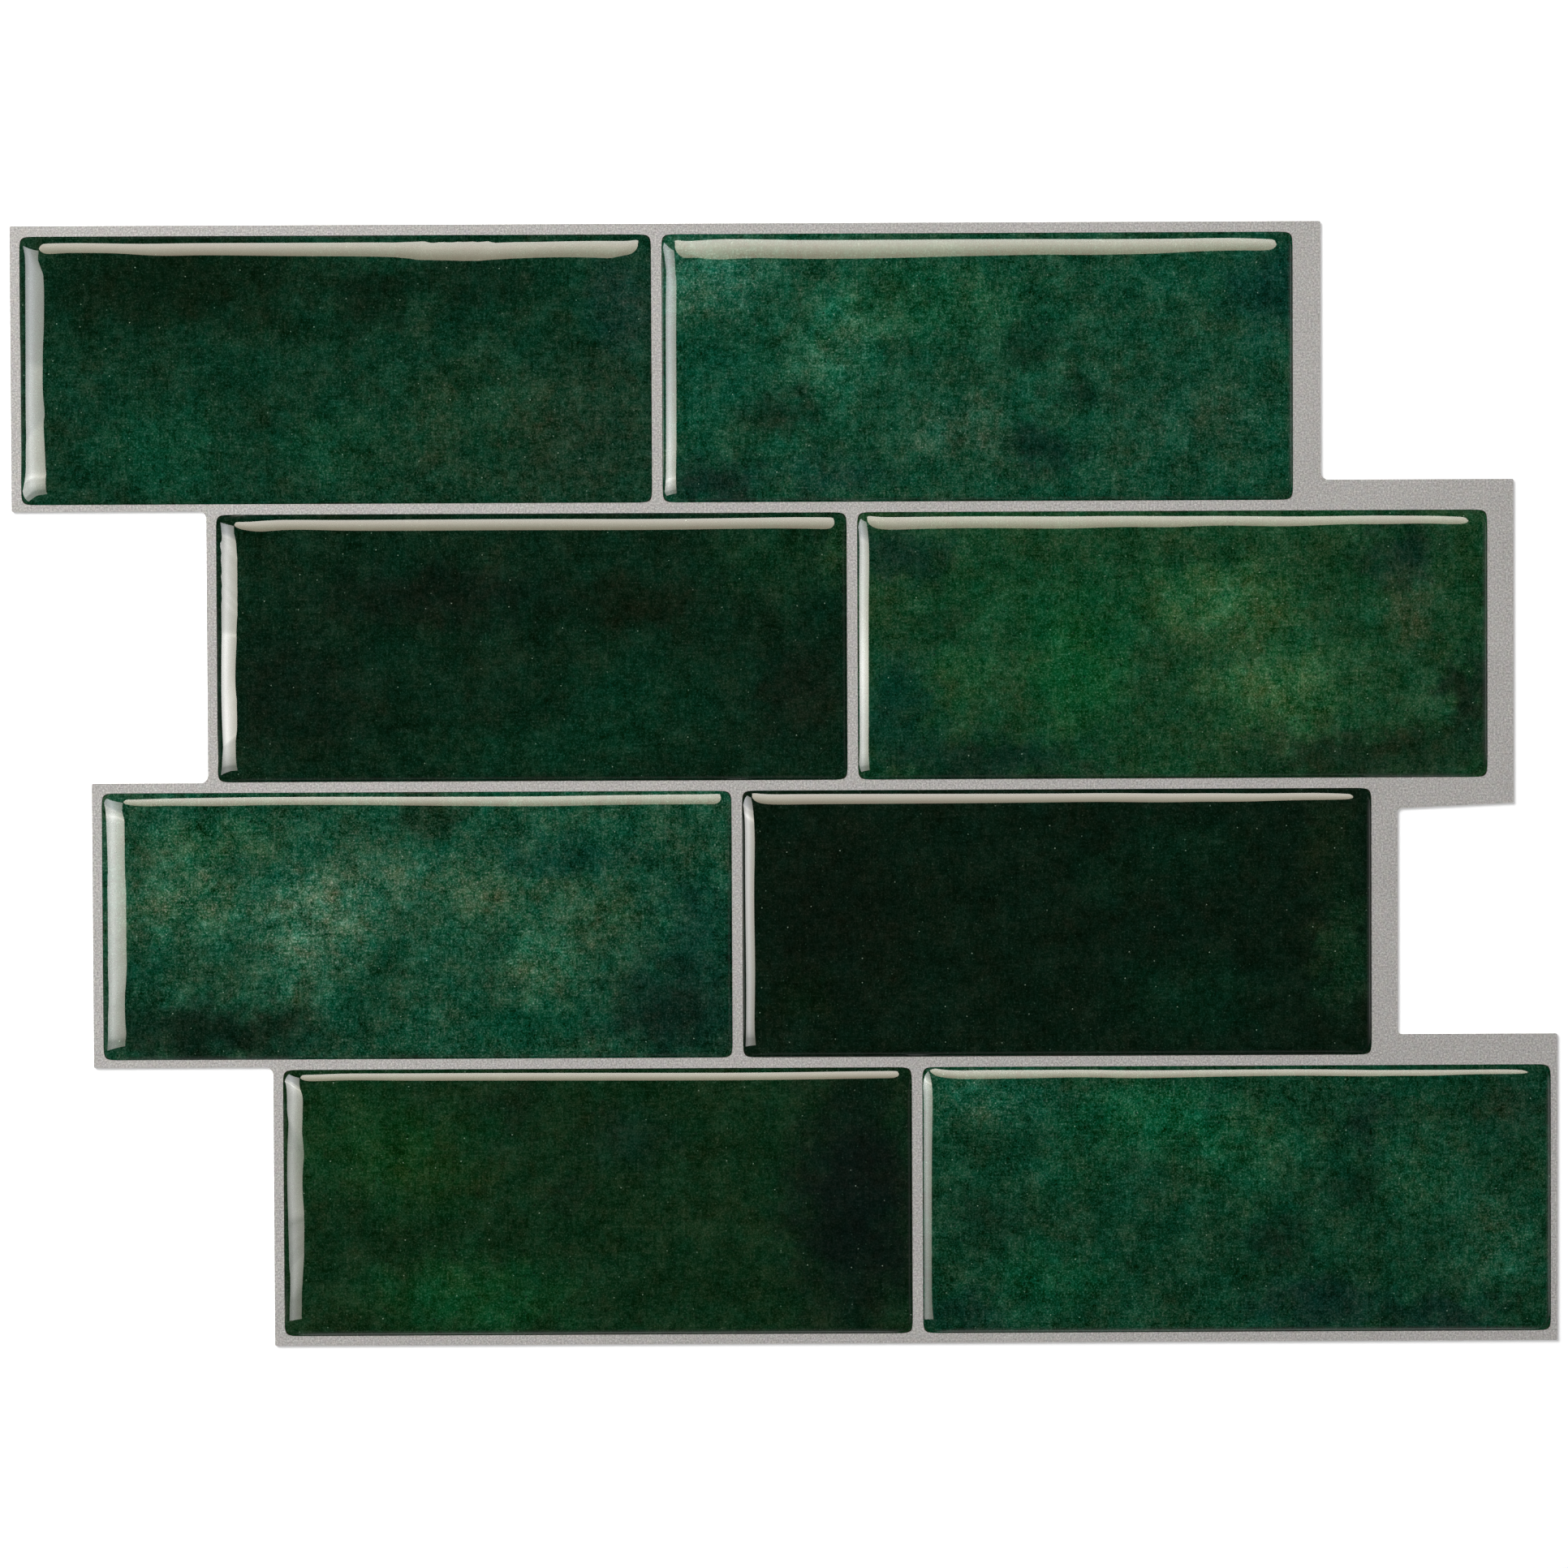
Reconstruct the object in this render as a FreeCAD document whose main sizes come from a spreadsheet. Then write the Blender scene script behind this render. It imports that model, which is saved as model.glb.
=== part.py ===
import FreeCAD, Part
import math
import os

import Sketcher

# A self-adhesive backsplash sheet, lying flat with its gel tiles up. Lengths are in millimetres.
# +X runs along the rows, +Y from the lowest row to the highest, +Z out of the gel.
# The origin is on the floor, under the middle of the sheet's bounding box.
# Rows are numbered from the top. Each one is shifted sideways, so the sheet's ends are stepped
# and take the steps of the next sheet. The right ends carry flaps that the next sheet covers.

DIMENSIONS = {
    # gel tiles: two in each row
    "tile_length": 119.7,
    "tile_width": 50.8,
    "tile_corner_round": 1.5,
    "joint": 2.0,
    "gel_height": 1.55,
    # distance from the tile's edge over which the poured gel rises to 63 % of its height
    "gel_rise": 1.9,
    # sideways shift of each row from the first
    "row_2_shift": 36.9,
    "row_3_shift": 14.8,
    "row_4_shift": 48.9,
    # film left round the tiles on the edges that lie on top of the next sheet
    "left_margin": 1.85,
    "top_margin": 2.0,
    "bottom_margin": 1.9,
    "row_1_lower_margin": 1.3,
    "row_3_upper_margin": 1.85,
    "row_3_lower_margin": 1.5,
    "row_4_side_margin": 1.3,
    # flaps at the right, which the next sheet covers
    "row_1_side_flap": 5.3,
    "row_2_side_flap": 5.0,
    "row_3_side_flap": 5.0,
    "row_2_upper_flap": 5.8,
    "row_2_lower_flap_inner": 5.9,
    "row_2_lower_flap_outer": 4.95,
    "row_4_upper_flap": 5.85,
    # rounding of the die-cut corners
    "step_corner_round": 1.5,
    "flap_corner_round": 0.85,
    "outer_corner_round": 0.3,
    # thickness of the layers under the gel; the film's includes its coat of adhesive
    "film_thickness": 0.5,
    "liner_thickness": 0.12,
}

ROWS = 4
TILES_IN_ROW = ("left", "right")

# Heights of the loft's sections, as parts of the gel's height. They are spaced so that the slope
# of the edge falls by nearly even steps, from 39 degrees at the film to level.
GEL_LEVELS = (0.0, 0.22, 0.42, 0.6, 0.76, 0.9, 0.97)
# Where the gel is level, in multiples of gel_rise from the tile's edge
GEL_LEVEL_AT = 4.6
# Each section's corner radius grows by this much for each millimetre that it lies inside the edge
CORNER_GROWTH = 0.6

# Sizes worked out from the driving dimensions, as expressions for the document
ROW_LENGTH = "2 * dims.tile_length + dims.joint"
ROW_PITCH = "(dims.tile_width + dims.joint)"
SHEET_LENGTH = f"(dims.left_margin + dims.row_4_shift + {ROW_LENGTH} + dims.row_4_side_margin)"
SHEET_WIDTH = (
    f"(dims.top_margin + {ROWS} * dims.tile_width + {ROWS - 1} * dims.joint + dims.bottom_margin)"
)

doc = FreeCAD.newDocument("BacksplashSheet")


def make_spreadsheet():
    sheet = doc.addObject("Spreadsheet::Sheet", "dims")
    for line, (alias, value) in enumerate(DIMENSIONS.items(), start=1):
        sheet.set(f"A{line}", alias)
        sheet.set(f"B{line}", str(value))
        sheet.setAlias(f"B{line}", alias)
    return sheet


def row_shift(row):
    """How far a row starts from the sheet's left edge, before the left margin."""
    return "0" if row == 1 else f"dims.row_{row}_shift"


def tile_bottom(row):
    """Height of a row's lower tile edges above the sheet's bottom edge."""
    return f"(dims.bottom_margin + {ROWS - row} * {ROW_PITCH})"


def tile_top(row):
    return f"({tile_bottom(row)} + dims.tile_width)"


def row_right(row, overhang):
    """Right edge of the film at a row, from the sheet's left edge."""
    return f"{row_shift(row)} + dims.left_margin + {ROW_LENGTH} + dims.{overhang}"


def new_body(label):
    body = doc.addObject("PartDesign::Body", label)
    body.Label = label
    return body


def place(body, x, y, z):
    body.setExpression("Placement.Base.x", f"({x}) * 1 mm")
    body.setExpression("Placement.Base.y", f"({y}) * 1 mm")
    body.setExpression("Placement.Base.z", f"({z}) * 1 mm")


def new_sketch(body, name):
    sketch = body.newObject("Sketcher::SketchObject", name)
    plane = next(p for p in body.Origin.OriginFeatures if p.Role == "XY_Plane")
    sketch.AttachmentSupport = [(plane, "")]
    sketch.MapMode = "FlatFace"
    return sketch


def bind(sketch, name, constraint, expression):
    """Add a constraint and drive its value by an expression."""
    index = sketch.addConstraint(constraint)
    sketch.renameConstraint(index, name)
    sketch.setExpression(f"Constraints.{name}", expression)


def outline_corners():
    """The stepped outline, clockwise from the top left: each corner's x, y and rounding."""
    step, flap, outer = "step_corner_round", "flap_corner_round", "outer_corner_round"
    left = [row_shift(row) for row in range(1, ROWS + 1)]
    right = [
        row_right(1, "row_1_side_flap"),
        row_right(2, "row_2_side_flap"),
        row_right(3, "row_3_side_flap"),
        row_right(4, "row_4_side_margin"),
    ]
    top = SHEET_WIDTH
    step_2 = f"{tile_top(2)} + dims.row_2_upper_flap"
    step_3_outer = f"{tile_bottom(2)} - dims.row_2_lower_flap_outer"
    step_3_inner = f"{tile_bottom(2)} - dims.row_2_lower_flap_inner"
    step_4 = f"{tile_top(4)} + dims.row_4_upper_flap"
    under_row_3 = f"{tile_bottom(3)} - dims.row_3_lower_margin"
    over_row_3 = f"{tile_top(3)} + dims.row_3_upper_margin"
    under_row_1 = f"{tile_bottom(1)} - dims.row_1_lower_margin"
    return [
        (left[0], top, outer),
        (right[0], top, outer),
        (right[0], step_2, step),
        (right[1], step_2, outer),
        (right[1], step_3_outer, outer),
        (right[2], step_3_inner, flap),
        (right[2], step_4, flap),
        (right[3], step_4, outer),
        (right[3], "0", outer),
        (left[3], "0", outer),
        (left[3], under_row_3, step),
        (left[2], under_row_3, outer),
        (left[2], over_row_3, outer),
        (left[1], over_row_3, step),
        (left[1], under_row_1, step),
        (left[0], under_row_1, outer),
    ]


def draw_outline(sketch, corners):
    """Draw the outline as straight lines, level or upright wherever two corners share a value."""
    points = [
        FreeCAD.Vector(value_of(sketch, x), value_of(sketch, y), 0) for x, y, _ in corners
    ]
    count = len(corners)
    for i in range(count):
        sketch.addGeometry(Part.LineSegment(points[i], points[(i + 1) % count]), False)
    for i in range(count):
        sketch.addConstraint(Sketcher.Constraint("Coincident", i, 2, (i + 1) % count, 1))
    tied_x, tied_y = set(), set()
    for i in range(count):
        j = (i + 1) % count
        if corners[i][0] == corners[j][0]:
            sketch.addConstraint(Sketcher.Constraint("Vertical", i))
            tied_x.add(j)
        elif corners[i][1] == corners[j][1]:
            sketch.addConstraint(Sketcher.Constraint("Horizontal", i))
            tied_y.add(j)
    for i, (x, y, _) in enumerate(corners):
        if i not in tied_x:
            fix_coordinate(sketch, i, "DistanceX", "x", x, points[i].x)
        if i not in tied_y:
            fix_coordinate(sketch, i, "DistanceY", "y", y, points[i].y)


def fix_coordinate(sketch, corner, kind, axis, expression, value):
    """Hold one coordinate of a corner, on the sheet's own left or bottom edge or away from it."""
    if expression == "0":
        own_axis = -2 if axis == "x" else -1
        sketch.addConstraint(Sketcher.Constraint("PointOnObject", corner, 1, own_axis))
        return
    constraint = Sketcher.Constraint(kind, -1, 1, corner, 1, value)
    bind(sketch, f"corner_{corner}_{axis}", constraint, expression)


def value_of(holder, expression):
    """The present value of an expression, in millimetres."""
    return float(holder.evalExpression(expression))


def upright_edges(shape, points):
    """Names of the upright edges of a padded shape that stand on the given points."""
    names = []
    for number, edge in enumerate(shape.Edges, start=1):
        ends = [vertex.Point for vertex in edge.Vertexes]
        upright = abs(ends[0].x - ends[-1].x) < 1e-6 and abs(ends[0].y - ends[-1].y) < 1e-6
        if not upright or len(ends) < 2:
            continue
        foot = FreeCAD.Vector(ends[0].x, ends[0].y, 0)
        if any(foot.distanceToPoint(point) < 1e-4 for point in points):
            names.append(f"Edge{number}")
    return names


def die_cut_layer(label, thickness, lift):
    """A layer with the sheet's stepped outline, its corners rounded as the cutting die leaves them."""
    body = new_body(label)
    corners = outline_corners()
    outline = new_sketch(body, f"{label}_outline")
    draw_outline(outline, corners)
    layer = body.newObject("PartDesign::Pad", f"{label}_pad")
    layer.Profile = outline
    layer.setExpression("Length", f"dims.{thickness}")
    doc.recompute()
    for rounding in ("step_corner_round", "flap_corner_round", "outer_corner_round"):
        points = [
            FreeCAD.Vector(value_of(outline, x), value_of(outline, y), 0)
            for x, y, name in corners
            if name == rounding
        ]
        fillet = body.newObject("PartDesign::Fillet", f"{label}_{rounding}")
        fillet.Base = (layer, upright_edges(layer.Shape, points))
        fillet.setExpression("Radius", f"dims.{rounding}")
        doc.recompute()
        layer = fillet
    body.Tip = layer
    place(body, f"-{SHEET_LENGTH} / 2", f"-{SHEET_WIDTH} / 2", lift)
    return body


def rounded_rectangle(sketch, length, width, radius):
    """A rectangle with rounded corners, centred on the sketch's origin."""
    a, b, r = (value_of(sketch, size) for size in (f"{length} / 2", f"{width} / 2", radius))
    quarter = math.pi / 2
    up = FreeCAD.Vector(0, 0, 1)
    # side k runs to corner k, anticlockwise from the lower side
    sides = [
        ((-a + r, -b), (a - r, -b)),
        ((a, -b + r), (a, b - r)),
        ((a - r, b), (-a + r, b)),
        ((-a, b - r), (-a, -b + r)),
    ]
    centres = [(a - r, -b + r), (a - r, b - r), (-a + r, b - r), (-a + r, -b + r)]
    for k in range(4):
        start, end = (FreeCAD.Vector(*point, 0) for point in sides[k])
        circle = Part.Circle(FreeCAD.Vector(*centres[k], 0), up, r)
        sketch.addGeometry(Part.LineSegment(start, end), False)
        sketch.addGeometry(Part.ArcOfCircle(circle, (k - 1) * quarter, k * quarter), False)
    for k in range(4):
        side, corner, next_side = 2 * k, 2 * k + 1, (2 * k + 2) % 8
        sketch.addConstraint(Sketcher.Constraint("Tangent", side, 2, corner, 1))
        sketch.addConstraint(Sketcher.Constraint("Tangent", corner, 2, next_side, 1))
        sketch.addConstraint(Sketcher.Constraint("Horizontal" if k % 2 == 0 else "Vertical", side))
        if k:
            sketch.addConstraint(Sketcher.Constraint("Equal", 1, corner))
    # opposite sides start at points that mirror each other through the origin
    sketch.addConstraint(Sketcher.Constraint("Symmetric", 0, 1, 4, 1, -1, 1))
    bind(sketch, "radius", Sketcher.Constraint("Radius", 1, r), radius)
    bind(sketch, "length", Sketcher.Constraint("DistanceX", 6, 1, 2, 1, 2 * a), length)
    bind(sketch, "width", Sketcher.Constraint("DistanceY", 0, 1, 4, 1, 2 * b), width)


def gel_sections():
    """Height and inset of each section: poured gel nears its full height exponentially."""
    sections = [
        (f"{level} * dims.gel_height", f"-log({1 - level:.2f}) * dims.gel_rise")
        for level in GEL_LEVELS
    ]
    return sections + [("dims.gel_height", f"{GEL_LEVEL_AT} * dims.gel_rise")]


def gel_tile(row, column):
    """One tile of clear gel: flat on top, falling to the film in a soft curve all round."""
    label = f"gel_tile_row_{row}_{TILES_IN_ROW[column]}"
    body = new_body(label)
    sketches = []
    for number, (height, inset) in enumerate(gel_sections()):
        sketch = new_sketch(body, f"{label}_section_{number}")
        sketch.setExpression("AttachmentOffset.Base.z", f"({height}) * 1 mm")
        rounded_rectangle(
            sketch,
            f"(dims.tile_length - 2 * {inset})",
            f"(dims.tile_width - 2 * {inset})",
            f"(dims.tile_corner_round + {CORNER_GROWTH} * {inset})",
        )
        sketches.append(sketch)
    dome = body.newObject("PartDesign::AdditiveLoft", f"{label}_dome")
    dome.Profile = sketches[0]
    dome.Sections = sketches[1:]
    dome.Ruled = True
    body.Tip = dome
    middle = f"dims.left_margin + {row_shift(row)} + {column} * (dims.tile_length + dims.joint)"
    place(
        body,
        f"{middle} + dims.tile_length / 2 - {SHEET_LENGTH} / 2",
        f"{tile_bottom(row)} + dims.tile_width / 2 - {SHEET_WIDTH} / 2",
        "dims.liner_thickness + dims.film_thickness",
    )
    return body


def check_and_export(bodies):
    doc.recompute()
    for thing in doc.Objects:
        if {"Invalid", "Error"} & set(thing.State):
            raise RuntimeError(f"{thing.Name} failed: {thing.State}")
    os.makedirs("parts", exist_ok=True)
    for body in bodies:
        if body.Shape.isNull() or not body.Shape.isValid() or len(body.Shape.Solids) != 1:
            raise RuntimeError(f"{body.Label} is not one sound solid")
    for body in bodies:
        body.Shape.exportStep(f"parts/{body.Label}.step")
        box = body.Shape.BoundBox
        print(
            f"{body.Label}: {body.Shape.Volume:.1f} mm3,"
            f" x {box.XMin:.2f} to {box.XMax:.2f},"
            f" y {box.YMin:.2f} to {box.YMax:.2f},"
            f" z {box.ZMin:.3f} to {box.ZMax:.3f}"
        )


make_spreadsheet()
doc.recompute()
pieces = [
    die_cut_layer("release_liner", "liner_thickness", "0"),
    die_cut_layer("backing_film", "film_thickness", "dims.liner_thickness"),
]
for row in range(1, ROWS + 1):
    for column in range(len(TILES_IN_ROW)):
        pieces.append(gel_tile(row, column))
check_and_export(pieces)
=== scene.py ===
import math

import bpy
from mathutils import Matrix, Vector


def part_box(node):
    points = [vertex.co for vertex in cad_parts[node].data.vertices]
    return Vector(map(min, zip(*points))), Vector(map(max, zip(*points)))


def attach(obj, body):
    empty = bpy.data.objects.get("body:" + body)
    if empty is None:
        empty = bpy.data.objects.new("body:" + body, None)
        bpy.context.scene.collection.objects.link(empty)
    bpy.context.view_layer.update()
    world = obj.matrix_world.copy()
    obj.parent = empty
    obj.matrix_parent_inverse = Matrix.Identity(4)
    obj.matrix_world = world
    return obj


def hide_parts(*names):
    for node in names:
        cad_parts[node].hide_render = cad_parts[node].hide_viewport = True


# Lengths in this script are in millimetres and become metres with MM.
MM = 0.001

# The camera looks almost straight down, from 900 mm up. Its place, aim, roll and lens were fitted to the
# tiles' corners.
CAMERA_AT = (-2.96, 21.16, 900.0)
CAMERA_AIM = (-0.36, 0.17, 0.62)
CAMERA_ROLL_DEG = -0.25
CAMERA_LENS = 108.63
CAMERA_SENSOR = 36.0
# The nearest and farthest that the camera sees, in metres
CAMERA_CLIP = (0.01, 50.0)

# A contour passes the plan's corners in a soft bend of this length. The print's own outline bends
# tightest, the gel's contact line more gently, and the contours further in nearly twice as gently.
PRINT_BEND = 0.62
CONTACT_BEND = 1.25
INNER_BEND = 1.75
BEND_GROWTH = 1.2
# The print's border that the gel leaves free, and how high it lies over the film
BORDER = 0.08
BORDER_LIFT = 0.06
# The gel is modelled as rings of points, the last at this inset. They lie close together where the edge
# is steep. The edges of the lowest three rings, round the print's border, are sharp.
RINGS = 50
LAST_RING = 13.9
RING_CROWDING = 2.0
SHARP_RINGS = 3
# Points of a ring: in each corner's bend, and between two bends along a long and along a short side
BEND_POINTS = 27
BEND_REACH = 6.5
SIDE_POINTS = (104, 36)

ROWS = 4
COLUMNS = ("left", "right")

# The two bright panels that the gel's edges mirror, one beyond the upper side and one beyond the left
# side. Each leans from its near line to its far line, given as (distance outward, height).
TOP_PANEL = {"near": (404, 965), "far": (1600, 1253), "ends": (-470, 400), "corner": 420}
SIDE_PANEL = {"near": (348, 677), "far": (821, 382), "ends": (-360, 450), "corner": 10}


# How far noise and dots move for each unit of a shift, so that no two patterns are alike
NOISE_SHIFT = (31.7, 17.9)
DOTS_SHIFT = (17.3, 9.1)
# The even core of a dot, as a share of its radius, and the smallest dot, as a share of the largest
DOT_CORE = 0.4
SMALLEST_DOT = 0.3
# From a colour on a screen to a shader's linear values
SCREEN_LIFT = 0.055
SCREEN_GAMMA = 2.4


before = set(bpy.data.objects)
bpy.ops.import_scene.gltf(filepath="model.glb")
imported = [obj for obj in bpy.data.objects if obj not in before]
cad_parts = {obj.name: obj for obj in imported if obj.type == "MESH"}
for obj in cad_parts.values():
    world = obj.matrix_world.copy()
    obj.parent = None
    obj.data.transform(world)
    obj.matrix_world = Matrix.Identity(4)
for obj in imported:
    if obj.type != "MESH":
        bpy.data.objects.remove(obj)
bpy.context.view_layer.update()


def new_material(name):
    """An empty node material."""
    material = bpy.data.materials.new(name)
    material.use_nodes = True
    nodes = material.node_tree.nodes
    nodes.clear()
    return material


class Nodes:
    """Short calls that add shader nodes and link them. Inputs are sockets or plain values."""

    def __init__(self, tree):
        self.tree = tree

    def add(self, kind, **settings):
        node = self.tree.nodes.new(kind)
        for key, value in settings.items():
            setattr(node, key, value)
        return node

    def feed(self, socket, value):
        if isinstance(value, bpy.types.NodeSocket):
            self.tree.links.new(value, socket)
        elif value is not None:
            socket.default_value = value

    def math(self, operation, a, b=None, c=None, clamp=False):
        node = self.add("ShaderNodeMath", operation=operation, use_clamp=clamp)
        for socket, value in zip(node.inputs, (a, b, c)):
            self.feed(socket, value)
        return node.outputs[0]

    def vector(self, operation, a, b=None, c=None, factor=None):
        node = self.add("ShaderNodeVectorMath", operation=operation)
        for socket, value in zip(node.inputs, (a, b, c, factor)):
            self.feed(socket, value)
        return node.outputs["Value" if operation in ("LENGTH", "DISTANCE") else "Vector"]

    def ramp(self, value, low, high, to_low=0.0, to_high=1.0, smooth=True):
        """Map a value from one range to another, held at both ends."""
        node = self.add("ShaderNodeMapRange", clamp=True)
        node.interpolation_type = "SMOOTHSTEP" if smooth else "LINEAR"
        for socket, number in zip(node.inputs, (value, low, high, to_low, to_high)):
            self.feed(socket, number)
        return node.outputs[0]

    def mix(self, factor, a, b, blend="MIX"):
        node = self.add("ShaderNodeMix", data_type="RGBA", blend_type=blend)
        self.feed(node.inputs[0], factor)
        self.feed(node.inputs[6], a)
        self.feed(node.inputs[7], b)
        return node.outputs[2]

    def noise(self, place, size, detail=0.0, roughness=0.5, shift=0.0, stretch=None, triple=False):
        """Flat noise from -0.5 to 0.5 with features of about the given size. A triple has three at once."""
        place = self.vector("ADD", place, (shift * NOISE_SHIFT[0], shift * NOISE_SHIFT[1], 0.0))
        if stretch:
            place = self.vector("MULTIPLY", place, stretch)
        node = self.add("ShaderNodeTexNoise", noise_dimensions="2D")
        self.feed(node.inputs["Vector"], place)
        node.inputs["Scale"].default_value = 1.0 / size
        node.inputs["Detail"].default_value = detail
        node.inputs["Roughness"].default_value = roughness
        if triple:
            return self.vector("SUBTRACT", node.outputs["Color"], (0.5, 0.5, 0.5))
        return self.math("SUBTRACT", node.outputs[0], 0.5)

    def dots(self, place, spacing, radius, shift=0.0, share=1.0):
        """1 inside scattered round dots. Only the given share of the cells has one."""
        moved = self.vector("ADD", place, (shift * DOTS_SHIFT[0], shift * DOTS_SHIFT[1], 0.0))
        cells = self.add("ShaderNodeTexVoronoi", feature="F1", voronoi_dimensions="2D")
        self.feed(cells.inputs["Vector"], moved)
        cells.inputs["Scale"].default_value = 1.0 / spacing
        split = self.add("ShaderNodeSeparateColor")
        self.feed(split.inputs[0], cells.outputs["Color"])
        near = self.ramp(cells.outputs["Distance"], radius / spacing, DOT_CORE * radius / spacing)
        chosen = self.math("LESS_THAN", split.outputs[0], share)
        size = self.ramp(split.outputs[1], 0.0, 1.0, SMALLEST_DOT, 1.0, smooth=False)
        return self.math("MULTIPLY", self.math("MULTIPLY", near, chosen), size)

    def screen_colour(self, colour):
        """Turn a colour as it looks on a screen, 0 to 1, into the linear values of a shader."""
        lifted = self.vector("MAXIMUM", colour, (0.0, 0.0, 0.0))
        lifted = self.vector("ADD", lifted, (SCREEN_LIFT, SCREEN_LIFT, SCREEN_LIFT))
        lifted = self.vector("SCALE", lifted, factor=1.0 / (1.0 + SCREEN_LIFT))
        gamma = self.add("ShaderNodeGamma")
        self.feed(gamma.inputs[0], lifted)
        gamma.inputs[1].default_value = SCREEN_GAMMA
        return gamma.outputs[0]


def in_millimetres(n):
    """The piece's own coordinates, in millimetres."""
    place = n.add("ShaderNodeTexCoord").outputs["Object"]
    return n.vector("SCALE", place, factor=1.0 / MM)


def bumpy(n, height, strength, distance):
    """A normal with small bumps where the height is."""
    bump = n.add("ShaderNodeBump")
    n.feed(bump.inputs["Strength"], strength)
    n.feed(bump.inputs["Distance"], distance * MM)
    n.feed(bump.inputs["Height"], height)
    return bump.outputs[0]


def principled(n, **inputs):
    """A Principled shader as the material's surface, with sockets fed by their names."""
    shader = n.add("ShaderNodeBsdfPrincipled")
    for name, value in inputs.items():
        n.feed(shader.inputs[name.replace("_", " ")], value)
    output = n.add("ShaderNodeOutputMaterial")
    n.tree.links.new(shader.outputs[0], output.inputs["Surface"])
    return shader


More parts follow.
